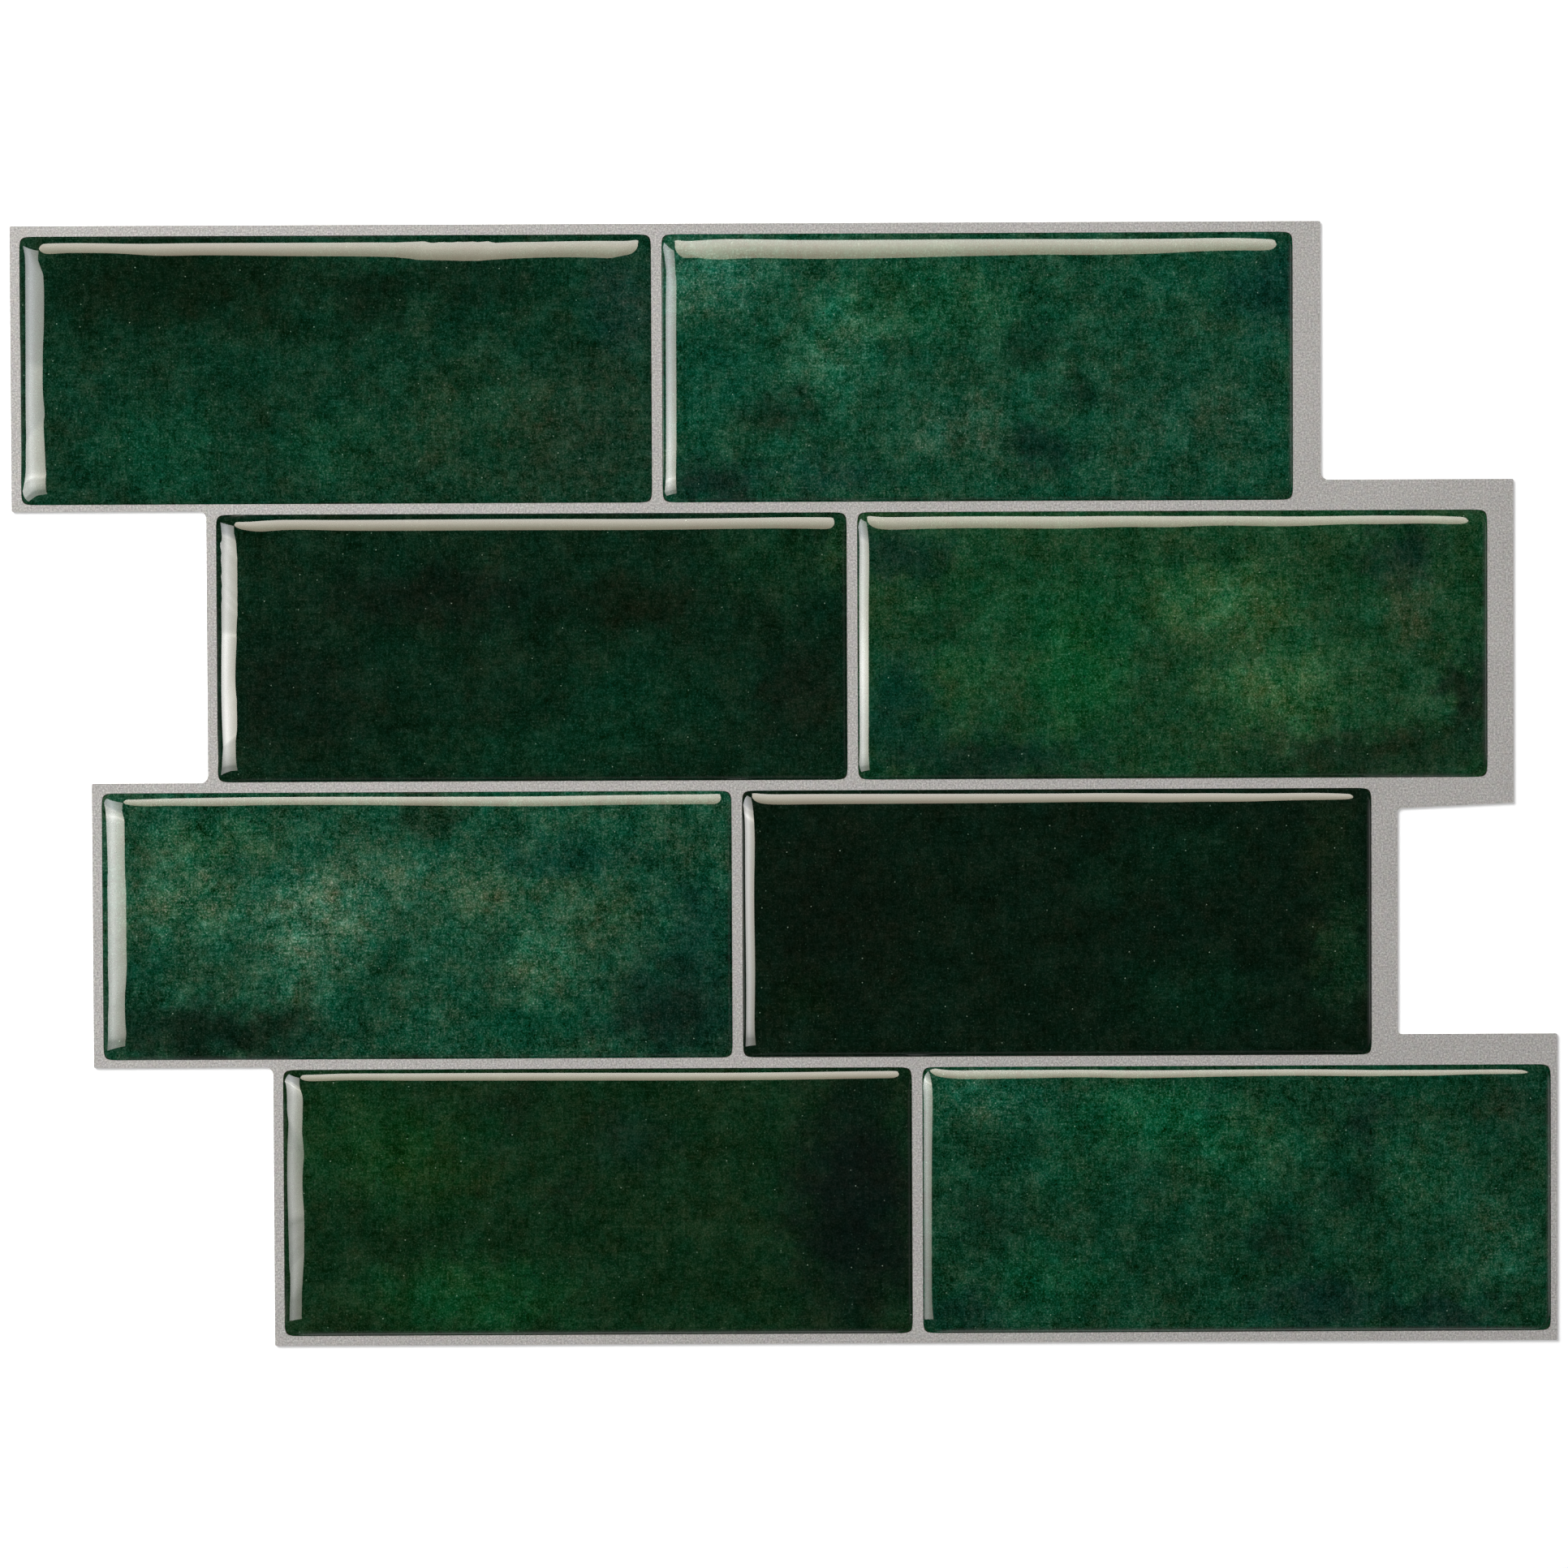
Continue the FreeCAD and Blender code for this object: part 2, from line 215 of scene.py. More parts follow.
# Each tile's print: its colour as on a screen, how strong its mottling is, and its soft patches. A patch
# has its place from the tile's middle, half length, half width, and what it adds to red, green and blue.
PRINTS = {
    "row_1_left": {
        "colour": (17, 56, 37), "mottling": 1.0, "patches": [
            (-32, 17, 30, 12, (-4, -22, -18)), (6, 14, 8, 7, (-2, -18, -14)), (25, 17, 14, 7, (-3, -12, -9)),
            (-33, -15, 14, 9, (-2, 12, 8)), (0, -15, 12, 8, (0, 10, 6)), (25, -8, 20, 10, (12, 8, 5)),
            (48, -13, 14, 16, (13, 2, 3)), (55, 12, 7, 10, (8, 2, 8)), (18, -22, 30, 5, (8, 5, 4)),
        ],
    },
    "row_1_right": {
        "colour": (24, 74, 51), "mottling": 0.99, "patches": [
            (-50, 18, 13, 9, (22, 26, 26)), (-26, 5, 7, 12, (18, 22, 18)), (-35, 2, 7, 8, (10, 12, 10)),
            (-50, -1, 10, 8, (-12, -4, -2)), (-38, -8, 6, 5, (-3, -18, -12)), (-3, -12, 11, 6, (28, 14, 14)),
            (12, -16, 6, 5, (-8, -22, -12)), (10, 4, 5, 4, (-8, -18, -14)), (20, -5, 7, 3, (-5, -16, -10)),
            (-50, -22, 12, 5, (-4, -26, -14)), (-25, -20, 10, 4, (0, -12, -4)), (42, -8, 16, 9, (9, 3, 4)),
            (55, 15, 8, 10, (-12, -12, -2)), (-8, 12, 20, 8, (4, 8, 2)),
        ],
    },
    "row_2_left": {
        "colour": (14, 42, 26), "mottling": 0.98, "patches": [
            (-46, -8, 16, 12, (2, -8, -4)), (-18, 10, 25, 6, (2, -10, -5)), (20, 8, 12, 6, (3, -8, -6)),
            (20, -10, 16, 10, (-3, 9, 6)), (0, -20, 25, 6, (-2, 8, 5)), (47, 17, 13, 9, (3, 12, 6)),
            (58, 20, 3, 7, (14, 20, 12)), (50, -8, 8, 10, (4, -8, -4)),
        ],
    },
    "row_2_right": {
        "colour": (28, 70, 41), "mottling": 0.88, "patches": [
            (9, 8, 16, 8, (25, 27, 16)), (20, -8, 15, 10, (25, 29, 18)), (12, 0, 7, 4, (2, -6, -4)),
            (-18, -5, 10, 12, (-8, 14, 4)), (-22, 8, 20, 8, (-8, 4, 1)), (-40, -5, 8, 5, (10, 14, 8)),
            (-44, 4, 5, 3, (-4, -12, -8)), (-53, -12, 9, 12, (-14, -12, 0)), (-52, 18, 10, 6, (-6, -16, -2)),
            (-34, -22, 20, 5, (-8, -20, -6)), (46, 6, 5, 10, (20, 8, 10)), (48, -8, 5, 7, (9, 9, 9)),
            (57, -10, 5, 10, (-6, -24, -10)), (44, 18, 8, 6, (-4, -18, -4)), (37, -21, 24, 5, (0, -18, -8)),
        ],
    },
    "row_3_left": {
        "colour": (30, 77, 54), "mottling": 1.05, "patches": [
            (-20, -1, 12, 11, (38, 36, 32)), (-44, 5, 12, 7, (30, 26, 20)), (-10, 9, 16, 7, (24, 18, 16)),
            (15, 6, 14, 8, (20, 16, 12)), (24, -7, 7, 7, (24, 26, 20)), (36, 3, 8, 5, (18, 10, 6)),
            (-40, 16, 14, 5, (8, 12, 6)), (-38, -20, 22, 6, (-12, -38, -28)),
            (49, -17, 14, 10, (-14, -34, -22)), (53, -1, 8, 10, (-14, -16, -8)),
            (2, 22, 6, 4, (-3, -18, -14)), (28, 13, 16, 3, (-12, -10, -4)),
            (-8, -14, 6, 5, (-14, -14, -12)), (-56, -12, 5, 10, (-14, -18, -14)),
            (22, -18, 12, 5, (-16, -8, -8)),
        ],
    },
    "row_3_right": {
        "colour": (12.5, 32, 19.5), "mottling": 1.0, "patches": [
            (-44, 2, 16, 18, (1, -5, -3)), (25, 14, 12, 8, (-2, 7, 4)), (25, -14, 14, 8, (-4, 10, 6)),
            (10, 8, 8, 6, (-2, 5, 3)), (54, -5, 5, 12, (11, 22, 13)), (52, 15, 6, 8, (6, 6, 2)),
            (-48, -14, 6, 6, (4, 4, 0)),
        ],
    },
    "row_4_left": {
        "colour": (20, 50, 27), "mottling": 0.88, "patches": [
            (-46, 12, 14, 12, (2, 11, 3)), (-32, 7, 12, 11, (4, 8, 0)), (-25, -18, 20, 8, (-2, 20, 8)),
            (-15, 18, 5, 6, (0, -6, -2)), (-6, 2, 4, 4, (0, -7, -3)), (49, 0, 13, 26, (-6, -23, -6)),
            (5, 12, 9, 6, (-2, -5, 2)),
        ],
    },
    "row_4_right": {
        "colour": (20, 66, 43), "mottling": 1.05, "patches": [
            (-48, 20, 14, 6, (12, 24, 22)), (-18, 16, 14, 8, (-2, 20, 10)), (0, 10, 14, 10, (4, 15, 8)),
            (-30, 5, 8, 6, (0, 10, 6)), (8, -8, 7, 5, (-3, -18, -11)), (22, 2, 6, 4, (-2, -13, -8)),
            (24, 15, 5, 5, (-3, -15, -6)), (-49, -3, 8, 5, (-1, -10, -6)), (35, 4, 8, 8, (13, 17, 12)),
            (50, -8, 8, 9, (17, 21, 18)), (53, 18, 9, 7, (8, -6, -2)), (-35, -15, 12, 6, (-6, 12, 6)),
            (-52, -22, 8, 4, (-4, -10, -2)), (15, -20, 12, 5, (-2, -14, -2)), (40, -22, 12, 4, (-6, -16, -4)),
        ],
    },
}
# A patch fades out between these two distances, in half lengths and half widths. The patches' edges are
# warped by noise of this size, this far along and across the tile.
PATCH_FADE = (1.5, 0.15)
WARP_SIZE = 7.0
WARP_REACH = (16.0, 11.0, 0.0)
# How strong each part of a print's mottling is, in steps of a screen colour, where the print's green
# is MOTTLED_GREEN. Darker places are calmer by as much as they are darker.
SPONGE, COPPER, FLUFF, GRAIN, WEAVE = 63.0, 48.0, 34.0, 68.0, 10.0
MOTTLED_GREEN = 56.0 / 255.0
# The size of the features of each part
SPONGE_SIZE, FLUFF_SIZE, GRAIN_SIZE, WEAVE_SIZE = 9.0, 1.1, 0.36, 0.5
# How much of each part goes to red, green and blue. Fluff, grain and weave share one tint.
SPONGE_TINT = (0.85, 1.0, 0.90)
COPPER_TINT = (1.0, -0.05, -0.1)
GRAIN_TINT = (1.3, 0.97, 1.08)
# Fine grain has more bright specks than dark ones: its square is added, less the square's mean
GRAIN_SKEW = 1.6
GRAIN_SQUARE = 0.02
# Dark specks and light flecks of the print, and bright glints that are painted highlights, small spots of
# light caught in the gel painted into the print's colour: spacing, radius, shift, share of cells, strength,
# colour
SPECKS_AND_PAINTED_GLINTS = [
    (2.2, 0.30, 0.5, 0.35, 0.5, (7, 20, 13)),
    (1.5, 0.17, 5.5, 0.35, 0.3, (130, 165, 140)),
    # painted glints: painted highlights, not dots of the print
    (5.0, 0.17, 8.5, 0.40, 0.7, (200, 215, 195)),
]
# Painted shade along the gel's edge: a brownish darkening of the print towards the outline, and a dark line
# on the border outside the gel. They fade out from the second to the first distance from the outline, with
# this strength and colour
PAINTED_EDGE_SHADES = [
    (0.60, 0.10, 0.40, (54, 47, 33)),
    (0.16, 0.06, 0.80, (44, 38, 32)),
]
# A roughness goes from its first to its second value where the noise goes from minus to plus its reach
PRINT_ROUGHNESS = (0.55, 0.75)
PRINT_ROUGHNESS_SIZE, PRINT_ROUGHNESS_REACH = 0.8, 0.3
SHEET_ROUGHNESS_REACH = 0.25
GEL_ROUGHNESS = 0.03
GEL_IOR = 1.5
# The film's colour, how much its grain, clouds and tints change it, and their sizes
FILM_COLOUR = (186.5, 183.5, 180.5)
FILM_GRAIN, FILM_CLOUD, FILM_TINT = 0.62, 0.05, 0.025
FILM_GRAIN_SIZE, FILM_CLOUD_SIZE, FILM_TINT_SIZE = 0.34, 11.0, 1.3
FILM_ROUGHNESS = (0.5, 0.66)
FILM_SPECULAR = 0.2
# The liner's colour, how much its fibres and clouds change it, and their sizes
LINER_COLOUR = (230, 226, 214)
LINER_FIBRES, LINER_CLOUD = 0.09, 0.07
LINER_FIBRE_SIZE, LINER_CLOUD_SIZE = 0.9, 14.0
LINER_ROUGHNESS = (0.34, 0.46)
# The strength of each sheet's bumps and their height
FILM_BUMPS = (0.25, 0.04)
LINER_BUMPS = (0.2, 0.03)


def scaled(values, gain=1.0 / 255.0):
    """Values times a gain, which by itself turns steps of a screen colour into shares."""
    return tuple(value * gain for value in values)


def patched(n, place, middle, look):
    """The print's colour with its soft patches."""
    colour = scaled(look["colour"])
    for x, y, half_length, half_width, change in look["patches"]:
        away = n.vector("SUBTRACT", place, (middle.x + x, middle.y + y, 0.0))
        away = n.vector("MULTIPLY", away, (1.0 / half_length, 1.0 / half_width, 0.0))
        patch = n.ramp(n.vector("LENGTH", away), *PATCH_FADE)
        colour = n.vector("MULTIPLY_ADD", patch, scaled(change), colour)
    return colour


def mottled(n, flat, number, colour, amount):
    """A print's colour with sponging, print grain and weave."""
    sponge = n.noise(flat, SPONGE_SIZE, detail=3.0, roughness=0.92, shift=number + 0.37, triple=True)
    shared = n.add("ShaderNodeSeparateXYZ")
    n.feed(shared.inputs[0], sponge)
    green = n.vector("SCALE", SPONGE_TINT, factor=shared.outputs["Y"])
    change = n.vector("SCALE", green, factor=SPONGE)
    copper = n.vector("SCALE", COPPER_TINT, factor=shared.outputs["X"])
    change = n.vector("ADD", change, n.vector("SCALE", copper, factor=COPPER))

    fluff = n.noise(flat, FLUFF_SIZE, detail=1.0, roughness=0.8, shift=number + 5.1)
    grain = n.noise(flat, GRAIN_SIZE, detail=1.0, roughness=0.8, shift=number + 9.3)
    bright = n.math("SUBTRACT", n.math("MULTIPLY", grain, grain), GRAIN_SQUARE)
    grain = n.math("MULTIPLY_ADD", bright, GRAIN_SKEW, grain)
    along = n.noise(flat, WEAVE_SIZE, shift=number + 2.9, stretch=(0.12, 1.0, 1.0))
    across = n.noise(flat, WEAVE_SIZE, shift=number + 7.7, stretch=(1.0, 0.15, 1.0))
    neutral = n.math("MULTIPLY", fluff, FLUFF)
    neutral = n.math("ADD", neutral, n.math("MULTIPLY", grain, GRAIN))
    neutral = n.math("ADD", neutral, n.math("MULTIPLY", n.math("ADD", along, across), WEAVE))
    change = n.vector("ADD", change, n.vector("SCALE", GRAIN_TINT, factor=neutral))

    light = n.add("ShaderNodeSeparateXYZ")
    n.feed(light.inputs[0], colour)
    strength = n.math("MULTIPLY", light.outputs["Y"], amount / 255.0 / MOTTLED_GREEN)
    return n.vector("ADD", colour, n.vector("SCALE", change, factor=strength))


def printed_gel(key, number, middle):
    """Mottled green print under clear gel, with painted glints and painted shade along the gel's edge. The
    print is flat, and only the gel's gloss follows the dome.
    """
    look = PRINTS[key]
    material = new_material(f"printed_gel_{key}")
    n = Nodes(material.node_tree)
    flat = n.vector("MULTIPLY", in_millimetres(n), (1.0, 1.0, 0.0))
    warp = n.noise(flat, WARP_SIZE, detail=2.0, roughness=0.7, shift=number + 3.3, triple=True)
    moved = n.vector("MULTIPLY_ADD", warp, WARP_REACH, flat)
    colour = patched(n, moved, middle, look)
    colour = mottled(n, flat, number, colour, look["mottling"])

    # the print's dark specks and light flecks, and last the painted glints, which are painted highlights
    for spacing, radius, shift, share, strength, tone in SPECKS_AND_PAINTED_GLINTS:
        dots = n.dots(flat, spacing, radius, number + shift, share=share)
        colour = n.mix(n.math("MULTIPLY", dots, strength), colour, (*scaled(tone), 1.0))

    # the distance from the outline is kept in the mesh's second coordinate
    rim = n.add("ShaderNodeSeparateXYZ")
    n.feed(rim.inputs[0], n.add("ShaderNodeUVMap", uv_map="rim").outputs[0])
    # painted shade: the print is darkened and browned towards the gel's edge, and darkest on the border
    # outside it
    for outer, inner, strength, tone in PAINTED_EDGE_SHADES:
        edge_shade = n.ramp(rim.outputs["Y"], outer, inner, 0.0, strength)
        colour = n.mix(edge_shade, colour, (*scaled(tone), 1.0))

    upright = n.add("ShaderNodeVectorTransform", vector_type="NORMAL")
    upright.convert_from = "OBJECT"
    upright.convert_to = "WORLD"
    upright.inputs[0].default_value = (0.0, 0.0, 1.0)
    matte = n.noise(flat, PRINT_ROUGHNESS_SIZE, detail=2.0, shift=number + 4.4)
    roughness = n.ramp(matte, -PRINT_ROUGHNESS_REACH, PRINT_ROUGHNESS_REACH, *PRINT_ROUGHNESS)
    shader = principled(
        n, Base_Color=n.screen_colour(colour), Roughness=roughness, Normal=upright.outputs[0]
    )
    shader.inputs["Specular IOR Level"].default_value = 0.0
    shader.inputs["Coat Weight"].default_value = 1.0
    shader.inputs["Coat Roughness"].default_value = GEL_ROUGHNESS
    shader.inputs["Coat IOR"].default_value = GEL_IOR
    return material


def grey_film():
    """Matte printed vinyl: mid grey with a fine even grain."""
    material = new_material("grey_film")
    n = Nodes(material.node_tree)
    place = in_millimetres(n)
    grain = n.noise(place, FILM_GRAIN_SIZE, detail=2.0, roughness=0.8)
    cloud = n.noise(place, FILM_CLOUD_SIZE, detail=3.0, roughness=0.6, shift=7.0)
    tint = n.noise(place, FILM_TINT_SIZE, detail=1.0, shift=3.0, triple=True)
    shade = n.math("ADD", n.math("MULTIPLY", grain, FILM_GRAIN), n.math("MULTIPLY", cloud, FILM_CLOUD))
    colour = n.vector("ADD", scaled(FILM_COLOUR), shade)
    colour = n.vector("ADD", colour, n.vector("SCALE", tint, factor=FILM_TINT))
    roughness = n.ramp(grain, -SHEET_ROUGHNESS_REACH, SHEET_ROUGHNESS_REACH, *FILM_ROUGHNESS)
    shader = principled(
        n, Base_Color=n.screen_colour(colour), Roughness=roughness, Normal=bumpy(n, grain, *FILM_BUMPS)
    )
    shader.inputs["Specular IOR Level"].default_value = FILM_SPECULAR
    return material


def liner_paper():
    """Coated release paper: off-white, faintly fibrous, with a dull shine."""
    material = new_material("liner_paper")
    n = Nodes(material.node_tree)
    place = in_millimetres(n)
    fibres = n.noise(place, LINER_FIBRE_SIZE, detail=4.0, roughness=0.7, stretch=(0.35, 1.0, 1.0))
    cloud = n.noise(place, LINER_CLOUD_SIZE, detail=3.0, shift=5.0)
    shade = n.math("ADD", n.math("MULTIPLY", fibres, LINER_FIBRES), n.math("MULTIPLY", cloud, LINER_CLOUD))
    colour = n.vector("ADD", scaled(LINER_COLOUR), shade)
    roughness = n.ramp(fibres, -SHEET_ROUGHNESS_REACH, SHEET_ROUGHNESS_REACH, *LINER_ROUGHNESS)
    principled(
        n, Base_Color=n.screen_colour(colour), Roughness=roughness, Normal=bumpy(n, fibres, *LINER_BUMPS)
    )
    return material


# Where the camera sees the two bright panels mirrored in each tile's gel, along its upper side by the
# distance from the left end and along its left side by the distance from the upper end: there the mirror
# image runs from the second to the third number, both distances inward from the outline. The gel's
# slope follows from them. The image is wider where the gel slumped.
MIRRORED = {
    "row_1_left": {
        "top": [
            (3, 1.2, 1.7), (5, 1.2, 2.0), (7, 1.25, 2.55), (10, 1.28, 3.1), (20, 1.5, 3.75),
            (30, 1.38, 3.65), (50, 1.38, 3.95), (70, 1.38, 4.2), (75, 1.45, 4.7), (80, 1.6, 5.6),
            (85, 1.52, 5.5), (90, 1.3, 4.9), (100, 1.35, 4.55), (112, 1.25, 4.5),
        ],
        "side": [
            (3, 1.3, 5.4), (5, 1.25, 5.15), (8, 1.2, 5.0), (10, 1.2, 4.9), (15, 1.18, 4.82),
            (20, 1.12, 4.62), (25, 1.05, 4.45), (30, 1.0, 4.42), (35, 1.0, 4.52), (40, 1.05, 4.72),
            (45, 1.15, 4.92), (49, 1.2, 5.05),
        ],
    },
    "row_1_right": {
        "top": [
            (3, 1.3, 3.1), (5, 1.15, 4.3), (10, 0.98, 4.65), (20, 1.15, 5.0), (40, 1.3, 5.0),
            (52, 1.22, 4.65), (75, 1.26, 4.25), (83, 1.32, 4.4), (100, 1.28, 4.1), (110, 1.15, 3.4),
            (115, 1.2, 2.5),
        ],
        "side": [
            (3, 1.1, 3.6), (5, 1.0, 3.2), (8, 0.85, 2.85), (15, 0.76, 2.78), (30, 0.75, 2.78),
            (45, 0.7, 2.75),
        ],
    },
    "row_2_left": {
        "top": [
            (3, 1.3, 1.5), (5, 1.2, 1.75), (7, 1.1, 2.2), (10, 1.0, 2.65), (20, 1.1, 3.12),
            (60, 1.06, 3.18), (83, 1.15, 3.25), (100, 1.05, 3.15), (112, 0.92, 3.1),
        ],
        "side": [
            (3, 1.2, 3.9), (5, 1.15, 4.1), (8, 1.1, 4.35), (11, 1.1, 4.45), (15, 1.08, 4.35),
            (20, 1.0, 4.06), (25, 0.9, 3.8), (30, 0.83, 3.6), (36, 0.8, 3.5), (41, 0.88, 3.57),
            (45, 1.02, 3.7), (49, 1.25, 3.2),
        ],
    },
    "row_2_right": {
        "top": [
            (3, 1.1, 3.0), (5, 1.0, 3.24), (20, 0.9, 3.12), (40, 1.0, 3.35), (50, 0.95, 3.05),
            (60, 1.05, 3.16), (70, 1.05, 2.8), (83, 1.22, 3.1), (90, 1.2, 2.9), (100, 1.12, 2.7),
            (110, 1.28, 2.4), (115, 1.3, 2.0),
        ],
        "side": [(3, 0.6, 2.3), (10, 0.4, 2.2), (20, 0.35, 2.14), (45, 0.35, 2.08)],
    },
    "row_3_left": {
        "top": [
            (3, 1.25, 1.45), (5, 1.15, 1.65), (8, 1.05, 1.95), (10, 1.02, 2.15), (20, 0.95, 2.5),
            (30, 0.85, 2.35), (50, 0.86, 2.45), (60, 0.92, 2.6), (85, 0.93, 2.85), (100, 0.76, 2.62),
            (112, 0.68, 2.62),
        ],
        "side": [
            (3, 1.2, 5.2), (5, 1.15, 5.1), (8, 1.02, 4.65), (10, 1.0, 4.5), (15, 1.0, 4.55),
            (21, 1.1, 4.9), (30, 1.08, 4.85), (40, 0.95, 4.45), (46, 0.9, 4.1),
        ],
    },
    "row_3_right": {
        "top": [
            (3, 0.85, 2.3), (5, 0.78, 2.5), (10, 0.72, 2.65), (40, 0.8, 2.62), (60, 0.83, 2.5),
            (70, 0.8, 2.45), (83, 0.93, 2.62), (90, 0.9, 2.5), (100, 1.0, 2.5), (110, 0.93, 2.15),
            (115, 1.0, 1.6),
        ],
        "side": [(5, 0.62, 2.5), (10, 0.56, 2.4), (20, 0.56, 2.25), (38, 0.66, 2.35), (48, 0.6, 2.1)],
    },
    "row_4_left": {
        "top": [
            (3, 0.98, 1.3), (5, 0.9, 1.5), (10, 0.76, 1.88), (20, 0.78, 2.15), (40, 0.78, 2.25),
            (60, 0.84, 2.33), (85, 0.93, 2.4), (100, 0.88, 2.35), (112, 0.76, 2.2),
        ],
        "side": [
            (3, 1.25, 4.9), (5, 1.15, 4.4), (10, 0.9, 3.85), (17, 0.68, 3.6), (25, 0.72, 3.8),
            (30, 0.88, 4.15), (36, 1.0, 3.95), (41, 1.0, 3.5), (46, 1.0, 3.3),
        ],
    },
    "row_4_right": {
        "top": [
            (3, 0.85, 2.3), (10, 0.67, 2.35), (20, 0.71, 2.32), (30, 0.68, 2.12), (40, 0.85, 2.38),
            (60, 0.8, 2.1), (75, 0.82, 2.03), (85, 1.0, 2.18), (100, 1.12, 2.15), (110, 0.98, 1.8),
            (115, 1.0, 1.5),
        ],
        "side": [(5, 0.31, 2.0), (15, 0.25, 1.78), (40, 0.25, 1.65)],
    },
}
# The two other sides mirror nothing. They carry on from the last station, are at least this wide, and
# have the slopes whose logarithms follow.
PLAIN_DISTANCES = (1.2, 3.7)
PLAIN_SLOPES = (math.log(0.53), math.log(0.07))
# How far a side's profile reaches round the corners, and how often the profiles are averaged with their
# neighbours
CORNER_BLEND = 0.6
SMOOTHING = 16
# Heights over the outline at which the mirrored edges lie, for how far they seem moved outwards
EDGE_HEIGHTS = (0.55, 1.35)
# Insets of the contours near which the two mirrored edges lie
EDGE_INSETS = (1.0, 3.3)
# The height over the floor from which the panels' mirror images are reckoned
MIRROR_HEIGHT = 1.5
# Beyond the inner edge the gel levels out over a length between these two
TAIL_LENGTHS = (0.3, 4.0)
# The rim is at least this much steeper than the outer edge. Where the height isn't enough for that, both
# distances shrink by SHRINK until it is.
LEAST_RIM = 1.12
SHRINK = 0.99
# The steepest rim, and how often the search for its slope halves the range
STEEPEST = 6.0
HALVINGS = 40


def between(stations, where):
    """The values on a smooth curve through stations (place, value, value), held beyond its ends."""
    if where <= stations[0][0]:
        return stations[0][1:]
    padded = [stations[0], *stations, stations[-1]]
    for before, start, end, after in zip(padded, padded[1:], padded[2:], padded[3:]):
        if where <= end[0]:
            length = end[0] - start[0]
            share = (where - start[0]) / length
            leaving = length / (end[0] - before[0])
            arriving = length / (after[0] - start[0])
            return tuple(
                a + (b - a) * share ** 2 * (3.0 - 2.0 * share)
                + (b - c) * leaving * share * (1.0 - share) ** 2
                - (d - a) * arriving * share ** 2 * (1.0 - share)
                for c, a, b, d in zip(before[1:], start[1:], end[1:], after[1:])
            )
    return stations[-1][1:]


def contour(half, inset, bend):
    """Points anticlockwise round a tile at an inset from its outline, from its lower right corner."""
    steps = [BEND_REACH * (2.0 * i / (BEND_POINTS - 1) - 1.0) for i in range(BEND_POINTS)]
    corners = []
    for k, (x, y) in enumerate(((1, -1), (1, 1), (-1, 1), (-1, -1))):
        order = steps if k % 2 == 0 else reversed(steps)
        corners.append([
            Vector((
                x * (half.x - inset - bend * math.log(1.0 + math.exp(s))),
                y * (half.y - inset - bend * math.log(1.0 + math.exp(-s))),
            ))
            for s in reversed(list(order))
        ])
    points = []
    for k, corner in enumerate(corners):
        points += corner
        start, end = corner[-1], corners[(k + 1) % 4][0]
        count = SIDE_POINTS[1 - k % 2]
        points += [start.lerp(end, (i + 1) / (count + 1)) for i in range(count)]
    return points


def bend_at(inset):
    """How softly a contour at an inset passes the corners."""
    return INNER_BEND - (INNER_BEND - CONTACT_BEND) * math.exp(-inset / BEND_GROWTH)


def panel_lines(panel, along):
    """A panel's near and far edge as (outward, up) at a place along it. Its corners are round."""
    near, far = Vector(panel["near"]), Vector(panel["far"])
    radius = panel["corner"]
    over = max(panel["ends"][0] + radius - along, along - panel["ends"][1] + radius, 0.0)
    cut = radius - math.sqrt(max(radius ** 2 - over ** 2, 0.0))
    share = cut / (far - near).length
    return near.lerp(far, share), far.lerp(near, share)


def mirror_slope(panel, edge, outward, along, camera_outward, camera_along):
    """The gel's slope where it mirrors a panel's near edge (0) or far edge (1) to the camera."""
    seat = Vector((outward, MIRROR_HEIGHT))
    to_camera = Vector((camera_outward, CAMERA_AT[2])) - seat
    line = Vector(panel[("near", "far")[edge]])
    reach = (line - seat).length / to_camera.length
    to_line = panel_lines(panel, along + (along - camera_along) * reach)[edge] - seat
    angle = math.atan2(to_line.x, to_line.y) + math.atan2(to_camera.x, to_camera.y)
    return math.tan(angle / 2)


def side_profile(panel, stations, seats, camera_outward, camera_along):
    """Distances inward of the two mirrored edges and the logarithms of the slopes there. The seats are
    the places of the outer and inner edge: from the side's first end, outward, and along the side."""
    distances, slopes = [], []
    for k, (where, outward, along) in enumerate(seats):
        lean = (outward - camera_outward) / CAMERA_AT[2]
        distances.append(between(stations, where)[k] + lean * EDGE_HEIGHTS[k])
        slopes.append(mirror_slope(panel, 1 - k, outward, along, camera_outward, camera_along))
    return (*distances, *(math.log(slope) for slope in slopes))


def plain_profile(stations):
    """The profile of a side that mirrors neither panel, next to a side with the given stations."""
    distances = (max(pair) for pair in zip(stations[-1][1:], PLAIN_DISTANCES))
    return (*distances, *PLAIN_SLOPES)


